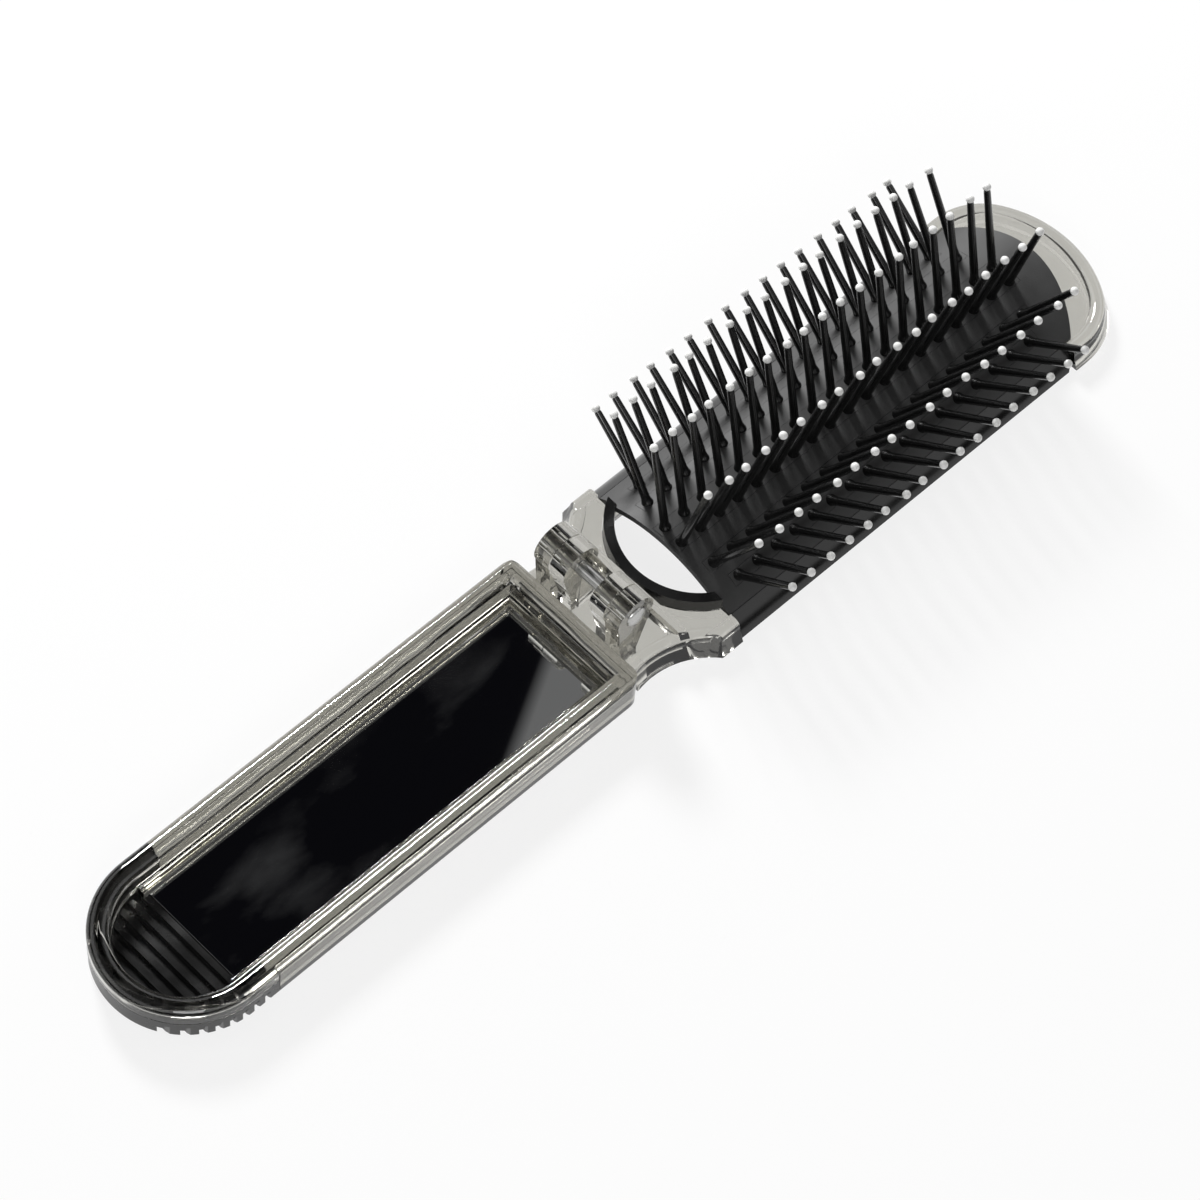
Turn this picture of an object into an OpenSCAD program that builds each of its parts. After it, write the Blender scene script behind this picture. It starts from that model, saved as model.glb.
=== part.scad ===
// Folding pocket hairbrush: a handle with a mirror in it, hinged to a bristle head.
// Millimetres. +X runs along the open brush towards the head, +Z is up, bristles and
// mirror face up. Every module is drawn from the hinge pin (x = 0) and moved to its
// place by `hinge_x`, so that the origin is under the middle of the open brush.

/* [Handle] */
// Width of the handle
handle_w = 32; // [28:0.5:36]
// From the hinge pin to the round end of the handle
handle_reach = 105.4; // [98:0.2:112]
// From the hinge pin to the flat end of the handle
handle_setback = 3; // [2.8:0.1:3.6]
// Height of the tray wall, up to the parting line
tray_h = 6.2; // [5.4:0.1:7]
// Thickness of the tray wall
tray_wall = 1.6; // [1.2:0.1:2]
// Thickness of the tray floor
tray_floor = 1; // [0.8:0.1:1.4]
// Bevel along the lower edges
lower_bevel = 0.7; // [0.3:0.1:1]
// Radius of the two corners by the hinge
corner_r = 3.2; // [1:0.1:3.5]

/* [Rim] */
// Width of the rounded rim
rim_w = 3.8; // [3:0.05:4]
// Height of the rim above the parting line
rim_rise = 1.7; // [1.2:0.1:2]
// Radius of the rounded top of the rim
rim_round = 2; // [1.9:0.05:2.6]
// Width of the ledge inside the rim
ledge_w = 1.8; // [1:0.1:2.4]
// Height of the ledge above the mirror
ledge_rise = 1.6; // [1:0.1:2.2]

/* [Mirror] */
// From the centre of the handle's round end to the mirror
mirror_stop = 1.3; // [0.4:0.1:4]
// Thickness of the mirror glass
glass_t = 0.8; // [0.6:0.05:1.2]
// Thickness of the adhesive film
tape_t = 0.2; // [0.1:0.05:0.4]
// Hidden edge of the mirror under the ledge
mirror_lap = 2.2; // [1:0.1:2.8]

/* [Thumb grip] */
// Straight part of the grip, ahead of the round end
grip_run = 5.6; // [4:0.2:8]
// Distance from rib to rib
rib_pitch = 2.3; // [1.8:0.1:3]
// Width of a rib
rib_w = 1.1; // [0.8:0.1:1.4]
// Height of the ribs inside the handle
rib_h = 0.9; // [0.5:0.1:1]
// Height of the grip's wall, up to the clear rim
grip_h = 4.3; // [3.4:0.1:5]
// Depth of the grooves under the grip
groove_d = 0.6; // [0.3:0.1:0.7]
// Depth of the same grooves in the grip's side
side_groove = 0.8; // [0.4:0.1:1]
// How far they run up the side
groove_up = 3; // [1.5:0.1:3.2]

/* [Hinge] */
// Gap between the ball tips and the mirror when the brush is folded
fold_gap = 0.4; // [0.3:0.1:1.2]
// Radius of the hinge lugs
lug_r = 4; // [3.4:0.1:4.4]
// Thickness of one lug
lug_t = 3.4; // [2.6:0.1:3.6]
// Half of the open space between the two head lugs
lug_inner = 3; // [2:0.1:3.2]
// Side gap between neighbouring lugs
lug_gap = 0.2; // [0.1:0.05:0.3]
// Radius of the hinge pin
pin_r = 1.25; // [1:0.05:1.6]
// Radial clearance of the pin in the head lugs
pin_clear = 0.05; // [0.03:0.01:0.08]
// Radius of the rivet heads on the pin
rivet_r = 2.1; // [1.8:0.1:2.6]
// Thickness of the rivet heads
rivet_t = 0.7; // [0.5:0.1:1]

/* [Head] */
// Half width of the neck arms and the end cap
head_half = 19.4; // [19:0.1:20]
// From the hinge pin to the far end of the head
head_reach = 117.3; // [113:0.2:120]
// From the hinge pin to where the bristle pad begins
pad_start = 17.2; // [16.8:0.1:18]
// Length of the clear end cap
cap_len = 18.3; // [17:0.1:20]
// Radius of the end cap's far end, seen from above
cap_end_r = 24; // [22:0.5:28]
// Radius of the end cap's corners, seen from above
cap_corner_r = 14; // [12:0.5:15]
// Height of the neck in its middle
neck_h = 6.2; // [5.6:0.1:6.8]
// Height of the side walls of the neck and of the end cap
wall_h = 4.6; // [4.2:0.1:5.2]
// Thickness of these walls, at the foot
neck_wall = 3.9; // [3.7:0.1:4.4]
// How far these walls lean in
wall_lean = 1.2; // [0.8:0.1:1.4]
// Radius of the bead along the top of these walls
bead_r = 1.4; // [1.2:0.1:1.5]
// Thickness of the clear back under the pad
back_t = 1.4; // [1:0.1:1.8]
// Gap between the handle's end and the neck
stop_gap = 0.4; // [0.3:0.1:0.8]
// Radius of the crescent hole's arc
crescent_r = 13.8; // [12.5:0.1:14.4]
// Width of the black band round the crescent hole
band_w = 1.8; // [1.4:0.1:2.2]

/* [Bristle pad] */
// Height of the pad's crown above the table
pad_h = 9; // [8.4:0.1:9.4]
// Radius of the pad's crown across the brush
crown_r = 26; // [24:0.5:30]
// Radius of the pad's shoulders
shoulder_r = 7; // [6:0.5:8]
// Thickness of the pad's skin
skin_t = 1.2; // [1:0.1:1.5]
// How far the skin reaches past its carrier at the crescent hole
lip = 3.6; // [2:0.2:4]

/* [Bristles] */
// Distance from bristle to bristle in a row
pin_pitch = 4.42; // [4.2:0.02:4.6]
// Radius of a bristle at the pad
pin_foot_r = 0.66; // [0.52:0.02:0.7]
// Radius of a bristle at its ball
pin_tip_r = 0.5; // [0.3:0.02:0.5]
// Radius of the ball tips
ball_r = 0.78; // [0.7:0.02:0.9]
// Width of a row's strip in the pad
strip_w = 2.4; // [2:0.1:2.8]
// Gap between a strip and its slot
strip_clear = 0.05; // [0.03:0.01:0.1]

/* [Bristle rows] */
// From the middle of the pad to an inner row
inner_y = 2; // [1.8:0.1:2.4]
// Lean of an inner row, in degrees
inner_lean = 12.4; // [11:0.1:14]
// Length of the inner bristles, up to the ball
inner_len = 19.5; // [17:0.1:19.6]
// From the near end of the pad to an inner row
inner_ahead = 1.8; // [1.7:0.1:3]
// How far an inner row ends before the clear end cap begins
inner_behind = -0.6; // [-0.8:0.1:2]
// From the middle of the pad to a middle row
middle_y = 8; // [7.4:0.1:8.2]
// Lean of a middle row, in degrees
middle_lean = 28.3; // [26:0.1:30]
// Length of the middle bristles, up to the ball
middle_len = 19; // [17:0.1:19.6]
// From the near end of the pad to a middle row
middle_ahead = 3.6; // [2:0.1:4.4]
// How far a middle row ends before the clear end cap begins
middle_behind = 1.9; // [0.5:0.1:3]
// From the middle of the pad to an outer row
outer_y = 12; // [11.6:0.1:12.6]
// Lean of an outer row, in degrees
outer_lean = 47.8; // [44:0.1:50]
// Length of the outer bristles, up to the ball
outer_len = 15.5; // [14:0.1:16]
// From the near end of the pad to an outer row
outer_ahead = 5.8; // [4:0.1:6.4]
// How far an outer row ends before the clear end cap begins
outer_behind = 4.3; // [3:0.1:5]

/* [Hidden] */
$fn = 64;

eps = 0.01;
far = 200;                                         // longer than the brush, for cutting

hinge_x = (handle_reach - head_reach) / 2;         // puts the origin under the middle

// handle
half_w = handle_w / 2;
round_x = half_w - handle_reach;                   // centre of the handle's round end
grip_x = round_x + grip_run;                       // where the tray ends and the grip begins
rim_top = tray_h + rim_rise;
mirror_top = tray_floor + tape_t + glass_t;
rim_in = half_w - rim_w;                           // half width of the opening in the rim
ledge_in = rim_in - ledge_w;                       // half width of the mirror that shows
mirror_half = ledge_in + mirror_lap;
mirror_x = -handle_setback - rim_w - ledge_w + mirror_lap;   // mirror's edge by the hinge
mirror_end = round_x + mirror_stop;                // mirror's edge by the thumb grip
rib_count = floor((half_w - tray_wall) / rib_pitch);

// hinge
lug_in = lug_inner + lug_t + lug_gap;              // inner face of a handle lug
lug_out = lug_in + lug_t;                          // outer face of a handle lug
notch_gap = 0.4;                                   // room round a handle lug in the neck
lug_foot = 3.9;                                    // depth of a handle lug at the table
lug_knee = 5;                                      // height where its front starts to slope
lug_back = 25;                                     // where a lug's sides meet its round top
lug_front = 16;
head_lug_x = -1.6;                                 // back of a head lug
head_lug_z = 2;                                    // how deep it sits in the neck
pin_fit = 0.01;                                    // radial clearance in the handle's lugs

// head
neck_x = stop_gap - handle_setback;                // flat end of the neck
bar_x = 7.5;                                       // the neck's cross bar, nearest side
bar_w = 1.5;
hollow_floor = 2.6;                                // floor between the hinge and the bar
plate_h = 3.6;                                     // top of the neck's sunk panels
flank_r = 15.4;                                    // hollow sides of the neck
flank_x = 0.8;
flank_y = 29.5;
flank_lean = wall_lean * neck_h / (wall_h - bead_r);
crescent_x = bar_x + bar_w - 0.1 + crescent_r + band_w + 0.1;  // centre of the crescent's arc
crescent_gap = 0.1;
band_low = 0.3;
band_high = neck_h + 0.3;
pad_end = head_reach - cap_len;                    // where the clear end cap begins
cap_end_x = head_reach - cap_end_r;                // centre of the cap's far end
cap_corner_y = head_half - cap_corner_r;           // centres of the cap's corners
cap_turn = asin(cap_corner_y / (cap_end_r - cap_corner_r));
cap_corner_x = cap_end_x + (cap_end_r - cap_corner_r) * cos(cap_turn);
nose_r = 24.5;                                     // rounded far end of the pad, seen from above
nose_back = 17;                                    // its centre, back from the end cap
nose_x = pad_end - nose_back;
side_gap = 0.1;
back_half = 16.9;                                  // half width of the clear back
open_half = 12.2;                                  // half width of the undercut at the crescent
carrier_low = 0.15;

// bristle pad across the brush
crown_z = pad_h - crown_r;
shoulder_y = 12.4;
shoulder_z = crown_z + sqrt(pow(crown_r - shoulder_r, 2) - pow(shoulder_y, 2));
skin_half = 15.6;                                  // half width of the skin
skin_seat = 0.05;                                  // room under the skin
skin_lip = 0.4;                                    // skin that hangs over the crescent hole
carrier_wall = 1.6;

// bristle rows, from the pad's right side (seen from the hinge) to its left
// [where it stands across the pad, lean outwards, length to the ball, space ahead of it, behind it]
inner_row = [inner_y, inner_lean, inner_len, inner_ahead, inner_behind];
middle_row = [middle_y, middle_lean, middle_len, middle_ahead, middle_behind];
outer_row = [outer_y, outer_lean, outer_len, outer_ahead, outer_behind];
ROWS = [outer_row, middle_row, inner_row, inner_row, middle_row, outer_row];
SIDES = [-1, -1, -1, 1, 1, 1];
foot_depth = 0.7;                                  // a bristle starts this far inside its strip
collar_r = 1.05;
collar_h = 0.9;
strip_end = 1.7;                                   // strip beyond its first and last bristle
ball_seat = sqrt(pow(ball_r, 2) - pow(pin_tip_r, 2));

// The pin stands half way between the mirror and the highest balls, so that these stop just
// short of the mirror when the head has turned over by 180 degrees.
ball_top = surface_z(inner_y) + inner_len * cos(inner_lean) + ball_r;
hinge_h = (ball_top + mirror_top + fold_gap) / 2;

// ---------------------------------------------------------------- helpers

// stands a shape drawn in (across, up) along the brush, from x0 to x1
module along(x0, x1) {
    translate([x0, 0, 0]) rotate([90, 0, 90]) linear_extrude(x1 - x0) children();
}

// stands a shape drawn in (along, up) across the brush, from y0 to y1
module across(y0, y1) {
    translate([0, y1, 0]) rotate([90, 0, 0]) linear_extrude(y1 - y0) children();
}

module both_sides() {
    children();
    mirror([0, 1, 0]) children();
}

module block(x0, x1, y0, y1, z0, z1) {
    translate([x0, y0, z0]) cube([x1 - x0, y1 - y0, z1 - z0]);
}

// ---------------------------------------------------------------- handle

// the handle's wall up to `top`, with its bevelled lower edge
module wall_up_to(top) {
    polygon([[half_w - tray_wall, 0], [half_w - lower_bevel, 0], [half_w, lower_bevel],
        [half_w, top], [half_w - tray_wall, top]]);
}

// the point on a lug's round top at `turn` degrees
function on_lug(turn) = [lug_r * cos(turn), hinge_h + lug_r * sin(turn)];

module handle_lug_section() {
    translate([0, hinge_h]) circle(lug_r);
    polygon([[-handle_setback - eps, 0], [lug_foot - handle_setback, 0],
        [lug_foot - handle_setback, lug_knee], on_lug(-lug_front), on_lug(lug_back - 180),
        [-handle_setback - eps, tray_h]]);
}

// the handle's outline by the hinge, seen from above
module handle_plan() {
    translate([-far, -half_w]) square([far - handle_setback - corner_r, handle_w]);
    translate([-far, corner_r - half_w]) square([far - handle_setback, handle_w - 2 * corner_r]);
    for (s = [-1, 1]) translate([-handle_setback - corner_r, s * (half_w - corner_r)])
        circle(corner_r);
}

module handle_tray() {
    color([0.78, 0.78, 0.74, 0.5]) difference() {
        union() {
            intersection() {
                union() {
                    both_sides() along(grip_x, -handle_setback) wall_up_to(tray_h);
                    block(grip_x, -handle_setback, -half_w + tray_wall, half_w - tray_wall,
                        0, tray_floor);
                    block(-handle_setback - tray_wall, -handle_setback, -half_w + tray_wall,
                        half_w - tray_wall, 0, tray_h);
                }
                translate([0, 0, -1]) linear_extrude(far) handle_plan();
            }
            both_sides() across(lug_in, lug_out) handle_lug_section();
        }
        translate([0, 0, hinge_h]) rotate([90, 0, 0]) cylinder(r = pin_r + pin_fit, h = far, center = true);
    }
}

// the rim's cross-section from the opening to the outer face; `shelf` is the ledge's width
module rim_section(shelf) {
    skirt_out = half_w - tray_wall - side_gap;
    translate([rim_in - shelf, mirror_top]) square([skirt_out - rim_in + shelf, ledge_rise]);
    translate([rim_in, mirror_top]) square([skirt_out - rim_in, tray_h - mirror_top + eps]);
    intersection() {
        translate([rim_in, tray_h]) square([rim_w, rim_rise]);
        union() {
            translate([half_w - rim_w / 2, rim_top - rim_round]) circle(rim_round);
            translate([rim_in, tray_h - 1]) square([rim_w, 1.3]);
        }
    }
}

// the part of the rim that comes down over the thumb grip's low wall
module rim_skirt() {
    skirt_in = half_w - tray_wall - side_gap - eps;
    translate([skirt_in, grip_h]) square([half_w - skirt_in, tray_h - grip_h + eps]);
}

module handle_rim() {
    corner = handle_setback + half_w;              // the mitre's line meets the middle here
    color([0.86, 0.86, 0.83, 0.5]) union() {
        intersection() {
            union() {
                both_sides() intersection() {
                    along(round_x, -handle_setback) rim_section(ledge_w);
                    linear_extrude(far) polygon([[round_x, 0], [-corner, 0],
                        [-handle_setback, half_w], [round_x, half_w]]);
                }
                intersection() {
                    translate([-handle_setback - half_w, 0, 0]) across(-half_w, half_w)
                        rim_section(ledge_w);
                    linear_extrude(far) polygon([[-corner, 0], [-handle_setback, half_w],
                        [-handle_setback, -half_w]]);
                }
            }
            linear_extrude(far) handle_plan();
        }
        both_sides() along(round_x, grip_x - side_gap) rim_skirt();
        translate([round_x, 0, 0]) rotate([0, 0, 90]) rotate_extrude(angle = 180) {
            rim_section(0);
            rim_skirt();
        }
    }
}

// groove number i across the grip: shallow underneath, deeper in the sides
module grip_groove(i) {
    from = grip_x - 2 - i * rib_pitch - (rib_pitch - rib_w);
    to = grip_x - 2 - i * rib_pitch;
    block(from, to, -far, far, -1, groove_d);
    difference() {
        block(from, to, -far, far, -1, groove_up);
        translate([round_x, 0, -2]) cylinder(r = half_w - side_groove, h = far);
        block(round_x, far, side_groove - half_w, half_w - side_groove, -2, far);
    }
}

module thumb_grip() {
    ribs_from = mirror_end - 0.2;
    color([0.05, 0.05, 0.05]) difference() {
        union() {
            both_sides() along(round_x, grip_x - side_gap) wall_up_to(grip_h);
            translate([round_x, 0, 0]) rotate([0, 0, 90]) rotate_extrude(angle = 180)
                wall_up_to(grip_h);
            block(round_x - eps, grip_x - side_gap, -half_w + tray_wall, half_w - tray_wall,
                0, tray_floor);
            translate([round_x, 0, 0]) intersection() {
                cylinder(r = half_w - tray_wall + eps, h = tray_floor);
                block(-far, 0, -far, far, 0, far);
            }
            // ribs that show inside the handle, past the mirror's end
            intersection() {
                translate([round_x, 0, 0]) cylinder(r = rim_in - 0.1, h = mirror_top);
                union() {
                    block(-far, ribs_from, -far, far, 0, mirror_top - rib_h);
                    for (i = [0:rib_count - 1])
                        block(ribs_from - i * rib_pitch - rib_w, ribs_from - i * rib_pitch,
                            -far, far, 0, mirror_top);
                }
            }
        }
        for (i = [0:rib_count + 1]) grip_groove(i);
    }
}

module mirror_adhesive() {
    inset = 0.6;
    color([0.9, 0.9, 0.88]) block(mirror_end + inset, mirror_x - inset,
        -mirror_half + inset, mirror_half - inset, tray_floor, tray_floor + tape_t);
}

module mirror_glass() {
    color([0.12, 0.12, 0.13]) block(mirror_end, mirror_x, -mirror_half, mirror_half,
        tray_floor + tape_t, mirror_top);
}

// ---------------------------------------------------------------- hinge

module hinge_pin() {
    color([0.35, 0.35, 0.36]) translate([0, 0, hinge_h]) rotate([90, 0, 0]) {
        cylinder(r = pin_r, h = 2 * lug_out, center = true);
        for (s = [-1, 1]) translate([0, 0, s * (lug_out + rivet_t / 2)])
            cylinder(r = rivet_r, h = rivet_t, center = true);
    }
}

// ---------------------------------------------------------------- head

// a pocket in the neck's top, from x0 to x1, down to `floor_z`, between the arms' side walls
module neck_pocket(x0, x1, floor_z) {
    half = head_half - neck_wall + 0.5;
    block(x0, x1, -half, half, floor_z, floor_z + neck_h);
}

// the bead along the neck's hollow side
module flank_bead() {
    line = head_half - wall_lean - bead_r + 0.1;       // where the arm's own bead runs
    intersection() {
        translate([flank_x, flank_y, wall_h - bead_r]) rotate([0, 0, -180])
            rotate_extrude(angle = 180, $fn = 96)
                translate([flank_r + wall_lean + bead_r - 0.1, 0]) circle(bead_r);
        block(neck_x, pad_start, -far, line, 0, far);
    }
}

module head_lug_section() {
    translate([0, hinge_h]) circle(lug_r);
    polygon([[head_lug_x, head_lug_z], [bar_x + eps, head_lug_z], [bar_x + eps, neck_h],
        on_lug(-lug_front), on_lug(lug_back - 180), [head_lug_x, neck_h]]);
}

// the wall of the neck and the cap, with its outer foot at `out`: it leans in to a bead
module wall_section(out) {
    polygon([[out, 0], [out - wall_lean, wall_h - bead_r], [out - neck_wall, wall_h - bead_r],
        [out - neck_wall, 0]]);
    translate([out - wall_lean - bead_r + 0.1, wall_h - bead_r]) circle(bead_r);
}

// the cap seen from above, with `inset` taken off: a wide arc between two rounded corners
module cap_plan(inset) {
    translate([pad_end - eps, inset - head_half])
        square([cap_corner_x - pad_end + eps, 2 * (head_half - inset)]);
    for (s = [-1, 1]) translate([cap_corner_x, s * cap_corner_y]) circle(cap_corner_r - inset);
    intersection() {
        translate([cap_end_x, 0]) circle(cap_end_r - inset, $fn = 96);
        polygon([[cap_end_x, 0], [cap_end_x + far * cos(cap_turn), far * sin(cap_turn)],
            [cap_end_x + far * cos(cap_turn), -far * sin(cap_turn)]]);
    }
}

module cap_wall() {
    both_sides() {
        along(pad_end, cap_corner_x) wall_section(head_half);
        translate([cap_corner_x, cap_corner_y, 0]) rotate([0, 0, cap_turn])
            rotate_extrude(angle = 90 - cap_turn) wall_section(cap_corner_r);
    }
    translate([cap_end_x, 0, 0]) rotate([0, 0, -cap_turn])
        rotate_extrude(angle = 2 * cap_turn, $fn = 96) wall_section(cap_end_r);
}

// the neck across the brush: two leaning walls, and a middle that rises between them
module neck_section() {
    wall_section(head_half);
    mirror([1, 0]) wall_section(head_half);
    foot = head_half - wall_lean - bead_r;
    shoulder = foot - 4;
    polygon([[-foot, 0], [-foot, wall_h - 0.3], [-shoulder, neck_h],
        [shoulder, neck_h], [foot, wall_h - 0.3], [foot, 0]]);
}

module head_frame() {
    color([0.82, 0.82, 0.79, 0.5]) difference() {
        union() {
            difference() {
                along(neck_x, pad_start) neck_section();
                for (s = [-1, 1]) translate([flank_x, s * flank_y, -eps])
                    cylinder(r1 = flank_r, r2 = flank_r + flank_lean, h = neck_h + 2 * eps, $fn = 96);
                neck_pocket(neck_x - eps, bar_x, hollow_floor);
                neck_pocket(bar_x + bar_w, pad_start + eps, plate_h);
            }
            both_sides() flank_bead();
            both_sides() across(lug_inner, lug_inner + lug_t) head_lug_section();
            // clear back under the pad, and the end cap
            block(pad_start - eps, pad_end + eps, -back_half, back_half, 0, back_t);
            cap_wall();
            linear_extrude(back_t) cap_plan(neck_wall - eps);
        }
        // crescent hole, with room for the black band and the undercut behind it
        intersection() {
            translate([crescent_x, 0, -1])
                cylinder(r = crescent_r + band_w + crescent_gap, h = far, $fn = 96);
            block(-far, pad_start + eps, -far, far, -1, far);
        }
        block(pad_start - 1, pad_start + lip, -open_half, open_half, -1, far);
        // notches for the handle's lugs, and the pin's bore
        both_sides() block(-far, lug_foot - handle_setback + notch_gap, lug_in - notch_gap,
            lug_out + notch_gap, -1, hinge_h - lug_r - 1);
        translate([0, 0, hinge_h]) rotate([90, 0, 0])
            cylinder(r = pin_r + pin_clear, h = far, center = true);
    }
}

// the pad's arch across the brush, with `inset` taken off its surface
module arch(inset) {
    intersection() {
        union() {
            intersection() {
                translate([0, crown_z]) circle(crown_r - inset, $fn = 128);
                polygon([[0, crown_z], [-shoulder_y * 2, crown_z + 2 * (shoulder_z - crown_z)],
                    [-shoulder_y * 2, far], [shoulder_y * 2, far],
                    [shoulder_y * 2, crown_z + 2 * (shoulder_z - crown_z)]]);
            }
            for (s = [-1, 1]) translate([s * shoulder_y, shoulder_z]) circle(shoulder_r - inset);
        }
        translate([-far / 2, 0]) square([far, far]);
    }
}

// the pad's outline from above: straight sides, a rounded nose inside the end cap
module pad_plan(x0) {
    intersection() {
        union() {
            translate([x0, -far / 2]) square([pad_end - x0 - side_gap, far]);
            cap_plan(neck_wall + side_gap);
        }
        union() {
            translate([nose_x, 0]) circle(nose_r, $fn = 96);
            translate([x0, -far / 2]) square([nose_x - x0, far]);
        }
        translate([x0, -far / 2]) square([far, far]);
    }
}

module pad_carrier() {
    color([0.04, 0.04, 0.04]) union() {
        difference() {
            intersection() {
                along(pad_start + side_gap, head_reach) difference() {
                    arch(0);
                    // the skin lies in a step of its own thickness
                    difference() {
                        translate([-skin_half - side_gap, 0])
                            square([2 * (skin_half + side_gap), far]);
                        arch(skin_t + skin_seat);
                    }
                    // hollow underneath
                    intersection() {
                        arch(skin_t + carrier_wall);
                        translate([-far / 2, -1]) square([far, far]);
                    }
                    translate([-back_half - side_gap, -1])
                        square([2 * (back_half + side_gap), 1 + back_t]);
                    translate([-far / 2, -1]) square([far, 1 + carrier_low]);
                }
                translate([0, 0, -1]) linear_extrude(far) pad_plan(pad_start + side_gap);
            }
            block(-far, pad_start + lip, -open_half, open_half, -1, far);
        }
        // closed ends under the skin
        intersection() {
            along(pad_start + lip, head_reach) difference() {
                arch(skin_t + carrier_wall - eps);
                translate([-far / 2, -1]) square([far, 1 + back_t]);
            }
            translate([0, 0, -1]) linear_extrude(far) difference() {
                pad_plan(pad_start + lip);
                translate([-carrier_wall, 0]) pad_plan(pad_start + lip + 2 * carrier_wall);
            }
        }
        // black band round the crescent hole
        translate([0, 0, band_low]) linear_extrude(band_high - band_low) intersection() {
            translate([crescent_x, 0]) difference() {
                circle(crescent_r + band_w, $fn = 96);
                circle(crescent_r, $fn = 96);
            }
            translate([-far, -far / 2]) square([far + pad_start + side_gap + eps, far]);
        }
    }
}

function row(i) = ROWS[i];
function row_y(i) = SIDES[i] * row(i)[0];
function row_lean(i) = SIDES[i] * row(i)[1];
function row_len(i) = row(i)[2];
function row_x(i, k) = pad_start + row(i)[3] + k * pin_pitch;
function row_count(i) = floor((pad_end - row(i)[4] - row_x(i, 0)) / pin_pitch) + 1;
function surface_z(y) = abs(y) <= shoulder_y * crown_r / (crown_r - shoulder_r)
    ? crown_z + sqrt(crown_r * crown_r - y * y)
    : shoulder_z + sqrt(shoulder_r * shoulder_r - pow(abs(y) - shoulder_y, 2));

// the slice of the pad that carries one row
module strip_section(i, width) {
    intersection() {
        difference() {
            arch(0);
            arch(skin_t);
        }
        translate([0, crown_z]) rotate(-asin(row_y(i) / crown_r))
            translate([-width / 2, 0]) square([width, far]);
    }
}

module pad_skin() {
    color([0.16, 0.16, 0.16]) difference() {
        intersection() {
            along(pad_start - skin_lip, head_reach) difference() {
                arch(0);
                arch(skin_t);
                for (s = [-1, 1]) translate([s * (skin_half + far / 2), far / 2])
                    square([far, far * 2], center = true);
            }
            // between the neck's arms it reaches a little over the crescent hole
            translate([0, 0, -1]) linear_extrude(far) {
                pad_plan(pad_start + side_gap);
                translate([pad_start - skin_lip, side_gap - open_half])
                    square([2 * skin_lip, 2 * (open_half - side_gap)]);
            }
        }
        for (i = [0:5]) along(row_x(i, 0) - strip_end - strip_clear,
            row_x(i, row_count(i) - 1) + strip_end + strip_clear)
            strip_section(i, strip_w + 2 * strip_clear);
    }
}

// puts its children at bristle k of row i, with +Z along the bristle
module at_bristle(i, k) {
    translate([row_x(i, k), row_y(i), surface_z(row_y(i))]) rotate([-row_lean(i), 0, 0]) children();
}

module bristle_row(i) {
    color([0.06, 0.06, 0.06]) union() {
        along(row_x(i, 0) - strip_end, row_x(i, row_count(i) - 1) + strip_end)
            strip_section(i, strip_w);
        for (k = [0:row_count(i) - 1]) at_bristle(i, k) {
            translate([0, 0, -foot_depth]) cylinder(r1 = pin_foot_r, r2 = pin_tip_r,
                h = foot_depth + row_len(i) - ball_seat, $fn = 16);
            translate([0, 0, -foot_depth]) cylinder(r1 = collar_r, r2 = pin_foot_r,
                h = foot_depth + collar_h, $fn = 16);
        }
    }
}

module ball_tips(i) {
    color([0.95, 0.95, 0.95]) for (k = [0:row_count(i) - 1]) at_bristle(i, k)
        translate([0, 0, row_len(i)]) difference() {
            sphere(ball_r, $fn = 20);
            translate([0, 0, -ball_seat - ball_r]) cube([3 * ball_r, 3 * ball_r, 2 * ball_r], center = true);
        }
}

translate([hinge_x, 0, 0]) {
    handle_tray();
    handle_rim();
    thumb_grip();
    mirror_adhesive();
    mirror_glass();
    hinge_pin();
    head_frame();
    pad_carrier();
    pad_skin();
    for (i = [0:5]) {
        bristle_row(i);
        ball_tips(i);
    }
}
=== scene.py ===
# %% [markdown]
# # A folding hairbrush with a mirror in its handle
# The brush has two halves on one steel pin. The handle is a clear tray with a rounded clear rim, a mirror
# and a black ribbed thumb grip. The head is a clear frame with a black arched pad and six rows of bristles.
# The sizes come from the construction model, which is loaded first. Everything here is in metres.

# %% Load the construction model
import math
from random import Random

import bmesh
import bpy
from mathutils import Matrix, Vector


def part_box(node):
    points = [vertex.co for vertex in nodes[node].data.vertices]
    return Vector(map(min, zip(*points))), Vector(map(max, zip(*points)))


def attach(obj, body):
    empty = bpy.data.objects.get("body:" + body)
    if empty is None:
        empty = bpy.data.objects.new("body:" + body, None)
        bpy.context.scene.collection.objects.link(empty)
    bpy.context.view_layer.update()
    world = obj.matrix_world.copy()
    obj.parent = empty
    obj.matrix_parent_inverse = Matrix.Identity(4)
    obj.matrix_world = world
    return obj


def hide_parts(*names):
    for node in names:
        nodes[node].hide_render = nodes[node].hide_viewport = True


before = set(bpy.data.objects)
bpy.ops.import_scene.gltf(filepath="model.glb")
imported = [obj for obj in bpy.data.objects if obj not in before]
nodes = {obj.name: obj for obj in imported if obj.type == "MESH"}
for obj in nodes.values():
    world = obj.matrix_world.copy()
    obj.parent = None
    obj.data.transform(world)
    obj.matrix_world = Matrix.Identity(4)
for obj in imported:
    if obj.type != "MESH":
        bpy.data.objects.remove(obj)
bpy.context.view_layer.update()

MM = 0.001

# %% [markdown]
# ## The camera
# The photograph looks down on the open brush from behind the handle. A pinhole camera was fitted to the
# corners of the handle and the rows of bristles. It stands where that camera stands, with the same lens.
# The lens points a little off the middle of the picture, and the camera's shift takes that up.

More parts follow.
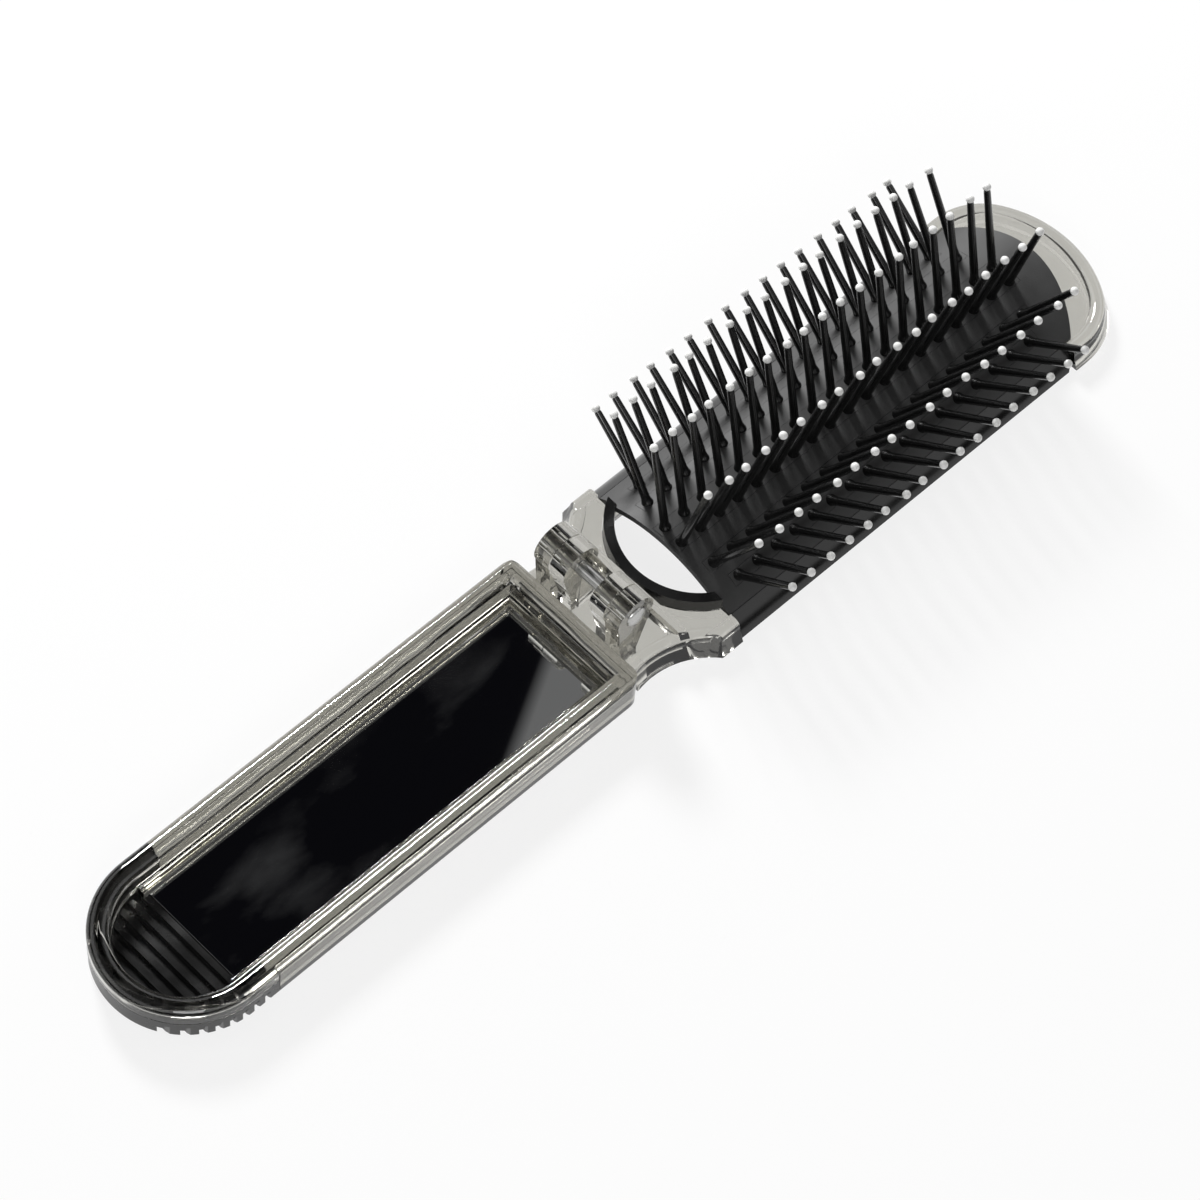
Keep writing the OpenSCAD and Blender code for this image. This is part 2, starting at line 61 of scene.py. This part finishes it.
# %% The camera
PHOTO_SIDE = 1200                       # pixels, both ways
FOCAL_PIXELS = 4967.25                  # the lens, in pixels of the photograph
AIM_PIXEL = (575.67, 637.65)            # where the lens points in the photograph
CAMERA_EYE = Vector((-0.33085, -0.2863, 0.7087))
CAMERA_RIGHT = Vector((0.7205, -0.6918, 0.0477)).normalized()
CAMERA_BACK = Vector((-0.3881, -0.3452, 0.8545)).normalized()


def make_camera():
    lens = bpy.data.cameras.new("camera")
    lens.sensor_width = 36
    lens.lens = FOCAL_PIXELS / PHOTO_SIDE * lens.sensor_width
    lens.shift_x = (PHOTO_SIDE / 2 - AIM_PIXEL[0]) / PHOTO_SIDE
    lens.shift_y = (AIM_PIXEL[1] - PHOTO_SIDE / 2) / PHOTO_SIDE
    lens.clip_start = 0.01
    camera = bpy.data.objects.new("camera", lens)
    camera_up = CAMERA_BACK.cross(CAMERA_RIGHT)
    turn = Matrix((CAMERA_RIGHT, camera_up, CAMERA_BACK)).transposed()
    camera.matrix_world = Matrix.Translation(CAMERA_EYE) @ turn.to_4x4()
    bpy.context.scene.collection.objects.link(camera)
    bpy.context.scene.camera = camera
    return camera


camera = make_camera()
bpy.context.scene.view_settings.view_transform = "Standard"
print("lens:", round(camera.data.lens, 1), "mm")

# %% [markdown]
# ## Shader helpers
# A finish is a small network of nodes. These helpers add a node, set its values by name and join it up, so
# that each finish below reads as a short recipe. Patterns read Object coordinates, in metres.


# %% Shader helpers
def new_material(name):
    material = bpy.data.materials.new(name)
    material.use_nodes = True
    tree = material.node_tree
    shader = tree.nodes["Principled BSDF"]
    return material, tree, shader


def add_node(tree, kind, links=None, **values):
    """Adds a node, sets its settings or socket values, and joins `links`, a dict of socket and source."""
    node = tree.nodes.new(kind)
    for name, value in values.items():
        if hasattr(node, name):
            setattr(node, name, value)
        else:
            node.inputs[name.replace("_", " ")].default_value = value
    for socket, source in (links or {}).items():
        tree.links.new(source, node.inputs[socket])
    return node


def place_of(tree):
    """Object coordinates: the place on the piece, in metres."""
    return add_node(tree, "ShaderNodeTexCoord").outputs["Object"]


def noise(tree, place, scale, detail=3.0, stretch=(1, 1, 1)):
    """Soft noise on a pattern that can be stretched along an axis. `scale` is in blobs per metre."""
    mapped = add_node(tree, "ShaderNodeMapping", {"Vector": place}, Scale=stretch)
    made = add_node(tree, "ShaderNodeTexNoise", {"Vector": mapped.outputs["Vector"]},
                    Scale=scale, Detail=detail)
    return made.outputs["Fac"]


def spread(tree, value, low, high, out_low, out_high):
    """Takes a value between `low` and `high` to between `out_low` and `out_high`."""
    node = add_node(tree, "ShaderNodeMapRange", {"Value": value})
    for socket, number in zip(("From Min", "From Max", "To Min", "To Max"), (low, high, out_low, out_high)):
        node.inputs[socket].default_value = number
    return node.outputs["Result"]


def ramp(tree, value, stops):
    """Colours a value: `stops` is a list of (place from 0 to 1, colour)."""
    node = add_node(tree, "ShaderNodeValToRGB", {"Fac": value})
    elements = node.color_ramp.elements
    while len(elements) < len(stops):
        elements.new(0.5)
    for element, (place, colour) in zip(elements, stops):
        element.position = place
        element.color = (*colour, 1)
    return node.outputs["Color"]


def bump(tree, shader, height, depth, strength=1.0):
    """Raises the surface by up to `depth` metres where `height` is 1."""
    node = add_node(tree, "ShaderNodeBump", {"Height": height}, Distance=depth, Strength=strength)
    tree.links.new(node.outputs["Normal"], shader.inputs["Normal"])


def set_shader(shader, **values):
    for name, value in values.items():
        shader.inputs[name.replace("_", " ")].default_value = value


print("helpers ready")

# %% [markdown]
# ## Clear polished plastic
# The tray, the rim and the head's frame are injection moulded in clear polystyrene, tinted a warm grey. The
# surface waves slightly where it shrank in the mould, and handling leaves fine scratches. Transmission
# gives the glass look, a slow noise bends the surface, and a fine one varies its polish.


# %% Clear plastic
WAVE_DEPTH = 0.0003                     # how deep the sink marks are


def clear_plastic(name):
    material, tree, shader = new_material(name)
    set_shader(shader, Base_Color=(0.58, 0.57, 0.53, 1), IOR=1.57, Transmission_Weight=1.0)
    place = place_of(tree)
    polish = noise(tree, place, 700, detail=4)
    tree.links.new(spread(tree, polish, 0.4, 0.75, 0.01, 0.05), shader.inputs["Roughness"])
    sink_marks = noise(tree, place, 110, detail=1)
    bump(tree, shader, sink_marks, WAVE_DEPTH, 0.35)
    return material


CLEAR = clear_plastic("clear_plastic")
print("made", CLEAR.name)

# %% [markdown]
# ## Black plastics and the soft pad
# The thumb grip and the pad's carrier are glossy black plastic, the bristles are moulded nylon, and the
# pad is a soft satin skin with a fine grain. One recipe makes all four: a dark tone with a little dust, a
# polish that varies where hands have been, and a grain.


# %% Black finishes
def black_plastic(name, tone, shine, grain_depth):
    """`shine` is the range of roughness from the most polished spots to the dullest."""
    material, tree, shader = new_material(name)
    set_shader(shader, IOR=1.5)
    place = place_of(tree)
    handled = noise(tree, place, 160, detail=5)
    dusty = tone * 1.8
    colour = ramp(tree, handled, [(0.35, (tone, tone, tone)), (0.8, (dusty, dusty, dusty))])
    tree.links.new(colour, shader.inputs["Base Color"])
    tree.links.new(spread(tree, handled, 0.3, 0.75, *shine), shader.inputs["Roughness"])
    bump(tree, shader, noise(tree, place, 4500, detail=2), grain_depth, 0.5)
    return material


GRIP = black_plastic("black_grip", 0.008, (0.2, 0.36), 0.00002)
GLOSS = black_plastic("black_gloss", 0.005, (0.14, 0.26), 0.00001)
SKIN = black_plastic("black_skin", 0.028, (0.5, 0.65), 0.00005)
BRISTLE = black_plastic("bristle_nylon", 0.004, (0.14, 0.24), 0.000005)
print("made", GRIP.name, GLOSS.name, SKIN.name, BRISTLE.name)

# %% [markdown]
# ## Ball tips
# Each bristle ends in a ball of white resin, which spares the scalp. Wear dulls the balls a little and in
# patches, so a noise varies both their white and their polish.


# %% White ball tips
def ball_tip_finish():
    material, tree, shader = new_material("ball_tip")
    set_shader(shader, IOR=1.5)
    wear = noise(tree, place_of(tree), 700)
    colour = ramp(tree, wear, [(0.3, (0.82, 0.82, 0.8)), (0.6, (0.92, 0.92, 0.91))])
    tree.links.new(colour, shader.inputs["Base Color"])
    tree.links.new(spread(tree, wear, 0.3, 0.7, 0.12, 0.3), shader.inputs["Roughness"])
    return material


BALL = ball_tip_finish()
print("made", BALL.name)

# %% [markdown]
# ## Mirror, film and pin
# The mirror is silvered glass with faint finger smears, which show as a grey haze. The film under it is
# fibrous and off-white, and the pin is turned steel, with fine rings round it.


# %% Mirror, film and pin
def mirror_finish():
    material, tree, shader = new_material("mirror")
    set_shader(shader, Base_Color=(0.86, 0.87, 0.87, 1))
    place = place_of(tree)
    smears = noise(tree, place, 45, detail=5, stretch=(0.7, 1.5, 1))
    tree.links.new(spread(tree, smears, 0.55, 0.8, 1.0, 0.965), shader.inputs["Metallic"])
    tree.links.new(spread(tree, smears, 0.5, 0.8, 0.015, 0.08), shader.inputs["Roughness"])
    return material


def film_finish():
    material, tree, shader = new_material("adhesive")
    fibres = noise(tree, place_of(tree), 600, detail=4, stretch=(0.2, 1, 1))
    colour = ramp(tree, fibres, [(0.0, (0.7, 0.7, 0.66)), (1.0, (0.88, 0.88, 0.85))])
    tree.links.new(colour, shader.inputs["Base Color"])
    set_shader(shader, Roughness=0.7)
    bump(tree, shader, fibres, 0.00005, 0.5)
    return material


def steel_finish():
    material, tree, shader = new_material("steel_pin")
    set_shader(shader, Base_Color=(0.5, 0.5, 0.49, 1), Metallic=1.0)
    turned = noise(tree, place_of(tree), 3000, stretch=(1, 0.05, 1))
    tree.links.new(spread(tree, turned, 0.3, 0.7, 0.22, 0.4), shader.inputs["Roughness"])
    bump(tree, shader, turned, 0.00001, 0.5)
    return material


MIRROR = mirror_finish()
FILM = film_finish()
STEEL = steel_finish()
print("made", MIRROR.name, FILM.name, STEEL.name)

# %% [markdown]
# ## Rounded moulded edges
# A moulded piece has no razor edge: the tool's corners leave a radius of a tenth or two of a millimetre,
# and that radius is what catches the light. The pieces could be modelled again from scratch, but the
# construction model already holds their exact shape. So a copy of it is merged into one skin, flat areas
# are made whole, and every corner gets a small round bevel. Where two pieces are glued together, a hair of
# room is left between them, because clear surfaces that share one place render black. Each piece prints
# how many of its edges don't have exactly two faces.

# %% Merged copies and bevels
CORNER_ANGLE = math.radians(25)         # a sharper edge is a corner, a flatter one is part of a curve
CREASE_ANGLE = math.radians(40)         # shading breaks at an edge sharper than this
FLAT_ANGLE = math.radians(0.6)          # faces that meet flatter than this are one flat
SAME_POINT = 0.001 * MM                 # points closer than this are one point
HAIR = 0.02 * MM                        # room left in a glued joint


def merged_copy(node_name):
    bm = bmesh.new()
    bm.from_mesh(nodes[node_name].data)
    bmesh.ops.remove_doubles(bm, verts=bm.verts, dist=SAME_POINT)
    return bm


def lift_flats(bm, height, by):
    """Moves whatever lies flat at `height` up by `by`."""
    for vert in bm.verts:
        if abs(vert.co.z - height) < 0.005 * MM:
            vert.co.z += by


def round_corners(bm, radius):
    """Makes flat areas whole, then gives every corner a round bevel."""
    bmesh.ops.dissolve_limit(bm, angle_limit=FLAT_ANGLE, verts=bm.verts, edges=bm.edges)
    corners = [e for e in bm.edges if e.is_manifold and e.calc_face_angle(0) > CORNER_ANGLE]
    bmesh.ops.bevel(bm, geom=corners, offset=radius, offset_type="OFFSET", affect="EDGES", segments=2,
                    profile=0.5, material=-1, clamp_overlap=True)


def finish_piece(bm, name, body, material, stands_for):
    """Makes an object of a bmesh, shades it smooth up to its corners and joins it to the frame."""
    for face in bm.faces:
        face.smooth = True
    for edge in bm.edges:
        edge.smooth = edge.is_manifold and edge.calc_face_angle(0) < CREASE_ANGLE
    open_edges = sum(not edge.is_manifold for edge in bm.edges)
    mesh = bpy.data.meshes.new(name)
    bm.to_mesh(mesh)
    bm.free()
    mesh.materials.append(material)
    piece = bpy.data.objects.new(name, mesh)
    bpy.context.scene.collection.objects.link(piece)
    even_shading = piece.modifiers.new("even_shading", "WEIGHTED_NORMAL")
    even_shading.keep_sharp = True
    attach(piece, body)
    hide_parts(*stands_for)
    print(name, "faces", len(mesh.polygons), "open edges", open_edges)
    return piece


def moulded(node_name, name, body, material, radius, lifted=()):
    """A rounded copy of a node. What lies flat at a height in `lifted` is moved up by a hair."""
    bm = merged_copy(node_name)
    for height in lifted:
        lift_flats(bm, height, HAIR)
    round_corners(bm, radius)
    finish_piece(bm, name, body, material, [node_name])


print("corners over", round(math.degrees(CORNER_ANGLE)), "degrees get a bevel")


# %% [markdown]
# ## The handle
# The tray, the rim that is glued on its wall, and the ribbed thumb grip. Along the glue line both corners
# are rounded, which leaves the fine dark parting line that runs round the handle.

# %% The handle's shells
WALL_TOP = 6.2 * MM                     # the parting line between tray and rim
SHELL_EDGE = 0.12 * MM                  # radius of the tray's, the grip's and the carrier's corners
RIM_EDGE = 0.15 * MM                    # radius of the rim's and the frame's corners
glass_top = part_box("mirror_glass")[1].z
grip_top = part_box("thumb_grip")[1].z

moulded("handle_tray", "clear_tray", "handle", CLEAR, SHELL_EDGE)
moulded("handle_rim", "clear_rim", "handle", CLEAR, RIM_EDGE,
        lifted=[WALL_TOP, glass_top, grip_top])
moulded("thumb_grip", "ribbed_grip", "handle", GRIP, SHELL_EDGE)

# %% [markdown]
# ## The mirror and its film
# The glass is cut from a sheet and its edges are ground, so it gets a small bevel too. The film is a little
# smaller than the glass and only shows from below, through the clear floor.

# %% Mirror and film
FILM_EDGE = 0.03 * MM                   # the cut edge of the film
GLASS_EDGE = 0.1 * MM                   # the ground edge of the glass
floor_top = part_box("mirror_adhesive")[0].z

moulded("mirror_adhesive", "mirror_film", "handle", FILM, FILM_EDGE, lifted=[floor_top])
moulded("mirror_glass", "mirror_plate", "handle", MIRROR, GLASS_EDGE)

# %% [markdown]
# ## The hinge pin
# A steel pin runs through the four lugs, and its ends are peened over to round heads. Half of its outline
# is drawn from one end to the shoulder, mirrored to the other end, and spun round the pin's axis.

# %% The hinge pin
pin_low, pin_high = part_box("hinge_pin")
pin_middle = (pin_low + pin_high) / 2
pin_half = (pin_high.y - pin_low.y) / 2
head_radius = (pin_high.z - pin_low.z) / 2
PIN_RADIUS = 1.25 * MM
HEAD_THICKNESS = 0.7 * MM


def spin_outline(outline, steps):
    """Spins an outline of (radius, height) points round the Z axis into a closed shape."""
    bm = bmesh.new()
    verts = [bm.verts.new((radius, 0, height)) for radius, height in outline]
    edges = [bm.edges.new(pair) for pair in zip(verts, verts[1:])]
    bmesh.ops.spin(bm, geom=verts + edges, cent=(0, 0, 0), axis=(0, 0, 1), angle=math.tau, steps=steps,
                   use_merge=True)
    bmesh.ops.remove_doubles(bm, verts=bm.verts, dist=SAME_POINT)
    bmesh.ops.recalc_face_normals(bm, faces=bm.faces)
    return bm


def make_pin():
    shoulder = pin_half - HEAD_THICKNESS
    dome = [(head_radius * math.sin(math.radians(turn)),
             shoulder + HEAD_THICKNESS * math.cos(math.radians(turn))) for turn in range(0, 91, 15)]
    half = dome + [(PIN_RADIUS, shoulder)]
    outline = half + [(radius, -height) for radius, height in reversed(half)]
    bm = spin_outline(outline, steps=40)
    across = Matrix.Rotation(math.radians(90), 3, "X")
    bmesh.ops.rotate(bm, cent=(0, 0, 0), matrix=across, verts=bm.verts)
    bmesh.ops.translate(bm, vec=pin_middle, verts=bm.verts)
    finish_piece(bm, "riveted_pin", "handle", STEEL, ["hinge_pin"])


make_pin()

# %% [markdown]
# ## The head's frame
# The neck with its two arms, the lugs, the clear back and the clear end cap are one moulding. In the
# construction model a thin inner wall is left where the cap's straight side meets its round corner. Nothing
# shows it in a solid, but light would bend at it here, so the copy loses it before its corners are rounded.
# This is the one piece whose skin isn't fully welded afterwards, as its printed count shows.

# %% The head's frame
CAP_SEAM = 95.767 * MM                  # where the cap's straight sides end


def make_head_frame():
    bm = merged_copy("head_frame")
    inner = [f for f in bm.faces if all(abs(v.co.x - CAP_SEAM) < 2 * SAME_POINT for v in f.verts)]
    bmesh.ops.delete(bm, geom=inner, context="FACES_ONLY")
    bmesh.ops.holes_fill(bm, edges=[e for e in bm.edges if e.is_boundary], sides=12)
    round_corners(bm, RIM_EDGE)
    finish_piece(bm, "clear_head_frame", "head", CLEAR, ["head_frame"])


make_head_frame()

# %% [markdown]
# ## The pad
# A glossy black carrier, arched across the brush, holds the soft satin skin. The skin's slots take the
# strips of the six bristle rows.

# %% Carrier and skin
BACK_TOP = 1.4 * MM                     # the clear back that the carrier stands on
SKIN_EDGE = 0.08 * MM                   # radius of the skin's corners

moulded("pad_carrier", "pad_carrier_shell", "head", GLOSS, SHELL_EDGE, lifted=[BACK_TOP])
moulded("pad_skin", "pad_skin_arch", "head", SKIN, SKIN_EDGE)

# %% [markdown]
# ## Bristles
# Each row is moulded in one go: a strip that plugs into the pad, and bristles that stand on it, each with
# a flared collar at its foot. One bristle's outline is spun once, and copies of it are turned into place
# along the row. No two real bristles lean quite alike, so each leans up to a degree or so more than its
# row, and only outwards, and it leans a little along the row too. The shafts are drawn 0.12 mm thicker in
# radius than in the construction model, because they look thicker in the photograph.

# %% The rows
PAD_TOP = 9 * MM                        # height of the pad's crown
CROWN_RADIUS = 26 * MM                  # of its arch across the brush
SKIN_THICKNESS = 1.2 * MM
FOOT_RADIUS = 0.78 * MM
TIP_RADIUS = 0.62 * MM
BALL_RADIUS = 0.78 * MM
BALL_SQUASH = 0.9                       # a ball's height over its width
MORE_LEAN = 1.2                         # degrees: the most that a bristle leans beyond its row
SIDEWAYS_LEAN = 1.3                     # degrees: the most that it leans along its row
STRIP_HALF_WIDTH = 1.2 * MM
STRIP_END = 1.7 * MM                    # from the last bristle to the strip's end
# place across the pad and length in metres, lean in degrees, and how many: outer, middle and inner row
OUTER = (12 * MM, 15.5 * MM, 47.8, 17)
MIDDLE = (8 * MM, 19 * MM, 28.3, 18)
INNER = (2 * MM, 19.5 * MM, 12.4, 19)
ROWS = [(-1, OUTER), (-1, MIDDLE), (-1, INNER), (1, INNER), (1, MIDDLE), (1, OUTER)]
chance = Random(7)


def bristle_outline(length):
    """A flared collar, a shaft that tapers slowly, and a little shoulder under the ball."""
    collar = [(1.1 * MM, -0.5 * MM), (1.08 * MM, 0), (0.98 * MM, 0.3 * MM), (0.86 * MM, 0.7 * MM),
              (FOOT_RADIUS, 1.3 * MM)]
    narrowing = TIP_RADIUS - FOOT_RADIUS
    shaft = [(FOOT_RADIUS + narrowing * share, length * share) for share in (0.4, 0.7, 0.94)]
    return [(0, -0.5 * MM)] + collar + shaft + [(0.42 * MM, length), (0, length)]


def ball_outline():
    """A slightly flattened ball, drawn from its top to its underside."""
    turns = [math.radians(degrees) for degrees in (0, 25, 50, 75, 100, 125, 150, 180)]
    points = [(BALL_RADIUS * math.sin(turn), BALL_SQUASH * BALL_RADIUS * math.cos(turn)) for turn in turns]
    return [(0, points[0][1])] + points[1:-1] + [(0, points[-1][1])]


def copies_at(template, places):
    """A new bmesh with a copy of the template at each of the places."""
    template_mesh = bpy.data.meshes.new("template")
    template.to_mesh(template_mesh)
    template.free()
    bm = bmesh.new()
    for place in places:
        before = len(bm.verts)
        bm.from_mesh(template_mesh)
        bm.verts.ensure_lookup_table()
        bmesh.ops.transform(bm, matrix=place, verts=bm.verts[before:])
    bpy.data.meshes.remove(template_mesh)
    return bm


def bristle_places(number):
    """Where the bristles of a row stand and how each leans, and their length."""
    side, (across, length, lean, count) = ROWS[number - 1]
    low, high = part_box(f"ball_tips_{number}")
    first = low.x + BALL_RADIUS
    pitch = (high.x - low.x - 2 * BALL_RADIUS) / (count - 1)
    foot_z = PAD_TOP - CROWN_RADIUS + math.sqrt(CROWN_RADIUS ** 2 - across ** 2)
    places = []
    for index in range(count):
        outwards = -side * math.radians(lean + chance.uniform(0, MORE_LEAN))
        along = math.radians(chance.uniform(-SIDEWAYS_LEAN, SIDEWAYS_LEAN))
        places.append(Matrix.Translation((first + index * pitch, side * across, foot_z))
                      @ Matrix.Rotation(outwards, 4, "X") @ Matrix.Rotation(along, 4, "Y"))
    return places, length


def add_strip(bm, number, places):
    """The curved strip under a row, spun round the axis of the pad's arch."""
    side, (across, *_) = ROWS[number - 1]
    half_angle = math.asin(STRIP_HALF_WIDTH / CROWN_RADIUS)
    start = -side * math.asin(across / CROWN_RADIUS) - half_angle
    x_low = places[0].translation.x - STRIP_END
    x_high = places[-1].translation.x + STRIP_END
    axis_z = PAD_TOP - CROWN_RADIUS
    radii = (CROWN_RADIUS - SKIN_THICKNESS, CROWN_RADIUS)
    corners = [(x_low, radii[0]), (x_high, radii[0]), (x_high, radii[1]), (x_low, radii[1])]
    verts = [bm.verts.new((x, 0, axis_z + radius)) for x, radius in corners]
    face = bm.faces.new(verts)
    pin_faces = len(bm.faces) - 1
    bmesh.ops.rotate(bm, cent=(0, 0, axis_z), matrix=Matrix.Rotation(start, 3, "X"), verts=verts)
    bmesh.ops.spin(bm, geom=[face], cent=(0, 0, axis_z), axis=(1, 0, 0), angle=2 * half_angle, steps=4)
    # the strip's faces take the second material
    bm.faces.ensure_lookup_table()
    for strip_face in bm.faces[pin_faces:]:
        strip_face.material_index = 1


def make_row(number):
    places, length = bristle_places(number)
    pins = copies_at(spin_outline(bristle_outline(length), steps=14), places)
    add_strip(pins, number, places)
    bmesh.ops.recalc_face_normals(pins, faces=pins.faces)
    row = finish_piece(pins, f"bristles_{number}", "head", BRISTLE, [f"bristle_row_{number}"])
    row.data.materials.append(SKIN)     # the strip is satin like the pad around it
    at_tip = [place @ Matrix.Translation((0, 0, length)) for place in places]
    balls = copies_at(spin_outline(ball_outline(), steps=12), at_tip)
    finish_piece(balls, f"balls_{number}", "head", BALL, [f"ball_tips_{number}"])


for number in range(1, 7):
    make_row(number)

# %% [markdown]
# ## The floor
# The brush lies on a plain white floor. Most of what the camera sees of it is its own even glow, so it
# stays white, and the rest is lit by the lamps, so the brush still lays a soft shadow on it.


# %% The floor
FLOOR_SIZE = 4                          # metres from the middle to a side
FLOOR_DROP = 0.2 * MM                   # the floor lies a hair under the brush
GLOW_SHARE = 0.82                       # how much of the seen floor is glow


def make_floor():
    bm = bmesh.new()
    bmesh.ops.create_grid(bm, x_segments=1, y_segments=1, size=FLOOR_SIZE)
    bmesh.ops.translate(bm, vec=(0, 0, -FLOOR_DROP), verts=bm.verts)
    mesh = bpy.data.meshes.new("floor")
    bm.to_mesh(mesh)
    bm.free()
    floor = bpy.data.objects.new("floor", mesh)
    bpy.context.scene.collection.objects.link(floor)
    material, tree, shader = new_material("white_floor")
    set_shader(shader, Base_Color=(0.9, 0.9, 0.9, 1), Roughness=0.9)
    rays = add_node(tree, "ShaderNodeLightPath")
    seen = rays.outputs["Is Camera Ray"]
    for kind in ("Is Glossy Ray", "Is Transmission Ray"):
        either = add_node(tree, "ShaderNodeMath", {0: seen, 1: rays.outputs[kind]}, operation="MAXIMUM")
        seen = either.outputs[0]
    share = add_node(tree, "ShaderNodeMath", {0: seen}, operation="MULTIPLY")
    share.inputs[1].default_value = GLOW_SHARE
    glow = add_node(tree, "ShaderNodeEmission", Strength=1.0)
    mixed = add_node(tree, "ShaderNodeMixShader", {"Fac": share.outputs[0]})
    tree.links.new(shader.outputs["BSDF"], mixed.inputs[1])
    tree.links.new(glow.outputs["Emission"], mixed.inputs[2])
    tree.links.new(mixed.outputs["Shader"], tree.nodes["Material Output"].inputs["Surface"])
    mesh.materials.append(material)


make_floor()
print("floor made")

# %% [markdown]
# ## The room and the lamps
# Clear plastic and a mirror show the room as much as themselves. The room is dark low down, which draws
# dark outlines on the clear edges, bright in a ring half way up, which makes their highlights, and grey
# overhead, where the mirror looks. Straight behind the brush it is white. One soft lamp lights the pad from
# the far side, so the bristles' shadows fall towards the camera, and a weak one fills in.

# %% The room and the lamps
# height of a direction (0 level, 1 straight up) and how bright the room is there
RINGS = [(0.0, 0.02), (0.22, 0.04), (0.36, 1.1), (0.6, 1.0), (0.76, 0.14), (1.0, 0.14)]
ON_SURFACES = 0.15                      # the room's even light on surfaces
BEHIND = 1.0                            # the room's white behind the brush


def make_world():
    world = bpy.data.worlds.new("studio")
    bpy.context.scene.world = world
    world.use_nodes = True
    tree = world.node_tree
    background = tree.nodes["Background"]
    direction = add_node(tree, "ShaderNodeTexCoord").outputs["Generated"]
    upwards = add_node(tree, "ShaderNodeSeparateXYZ", {"Vector": direction}).outputs["Z"]
    rings = ramp(tree, upwards, [(height, (level, level, level)) for height, level in RINGS])
    rays = add_node(tree, "ShaderNodeLightPath")
    on_surfaces = add_node(tree, "ShaderNodeMix", {"Factor": rays.outputs["Is Diffuse Ray"], "A": rings})
    on_surfaces.inputs["B"].default_value = ON_SURFACES
    behind = add_node(tree, "ShaderNodeMix", {"Factor": rays.outputs["Is Camera Ray"],
                                              "A": on_surfaces.outputs["Result"]})
    behind.inputs["B"].default_value = BEHIND
    tree.links.new(behind.outputs["Result"], background.inputs["Strength"])
    background.inputs["Color"].default_value = (1, 1, 1, 1)


def add_lamp(name, place, size, watts):
    """A soft rectangular lamp that shines at the middle of the brush."""
    light = bpy.data.lights.new(name, "AREA")
    light.shape = "RECTANGLE"
    light.size, light.size_y = size
    light.energy = watts
    lamp = bpy.data.objects.new(name, light)
    towards_brush = (-Vector(place)).to_track_quat("-Z", "Y")
    lamp.matrix_world = Matrix.Translation(place) @ towards_brush.to_matrix().to_4x4()
    bpy.context.scene.collection.objects.link(lamp)


make_world()
add_lamp("key_softbox", (0.3, 0.8, 0.6), size=(0.22, 0.22), watts=13)
add_lamp("fill_softbox", (-0.55, -0.55, 0.5), size=(0.4, 0.3), watts=2)

# %% [markdown]
# ## A dark card over the mirror
# In the photograph the mirror shows something black, and at its hinge end a grey corner past a soft edge.
# A black card hangs over the brush where the mirror looks. Only reflections and what is seen through clear
# plastic show it, and its edge fades out over half a centimetre.

# %% The dark card
CARD_HEIGHT = 0.6
CARD_CORNERS = [(-0.1, 0.03), (0.36, 0.295), (0.36, 0.5), (-0.1, 0.5)]
CARD_COLOUR = (0.003, 0.003, 0.004, 1)
EDGE_POINT = Vector((0.2127, 0.2239, 0))                # a point on the line where the card ends
EDGE_NORMAL = Vector((-0.4994, 0.8663, 0))              # towards the dark side
FADE = (-0.0065, -0.0015)                               # from that line: where the card begins, and is full


def make_card():
    bm = bmesh.new()
    bm.faces.new([bm.verts.new((x, y, CARD_HEIGHT)) for x, y in CARD_CORNERS])
    mesh = bpy.data.meshes.new("dark_card")
    bm.to_mesh(mesh)
    bm.free()
    card = bpy.data.objects.new("dark_card", mesh)
    bpy.context.scene.collection.objects.link(card)
    material, tree, shader = new_material("dark_card")
    black = add_node(tree, "ShaderNodeEmission", Color=CARD_COLOUR, Strength=1.0)
    distance = add_node(tree, "ShaderNodeVectorMath", {0: place_of(tree)}, operation="DOT_PRODUCT")
    distance.inputs[1].default_value = EDGE_NORMAL
    edge = EDGE_POINT.dot(EDGE_NORMAL)
    cover = spread(tree, distance.outputs["Value"], edge + FADE[0], edge + FADE[1], 0, 1)
    clear = add_node(tree, "ShaderNodeBsdfTransparent")
    mixed = add_node(tree, "ShaderNodeMixShader", {"Fac": cover})
    tree.links.new(clear.outputs["BSDF"], mixed.inputs[1])
    tree.links.new(black.outputs["Emission"], mixed.inputs[2])
    tree.nodes.remove(shader)
    tree.links.new(mixed.outputs["Shader"], tree.nodes["Material Output"].inputs["Surface"])
    mesh.materials.append(material)
    card.visible_camera = False
    card.visible_shadow = False
    card.visible_diffuse = False


make_card()
print("card made")
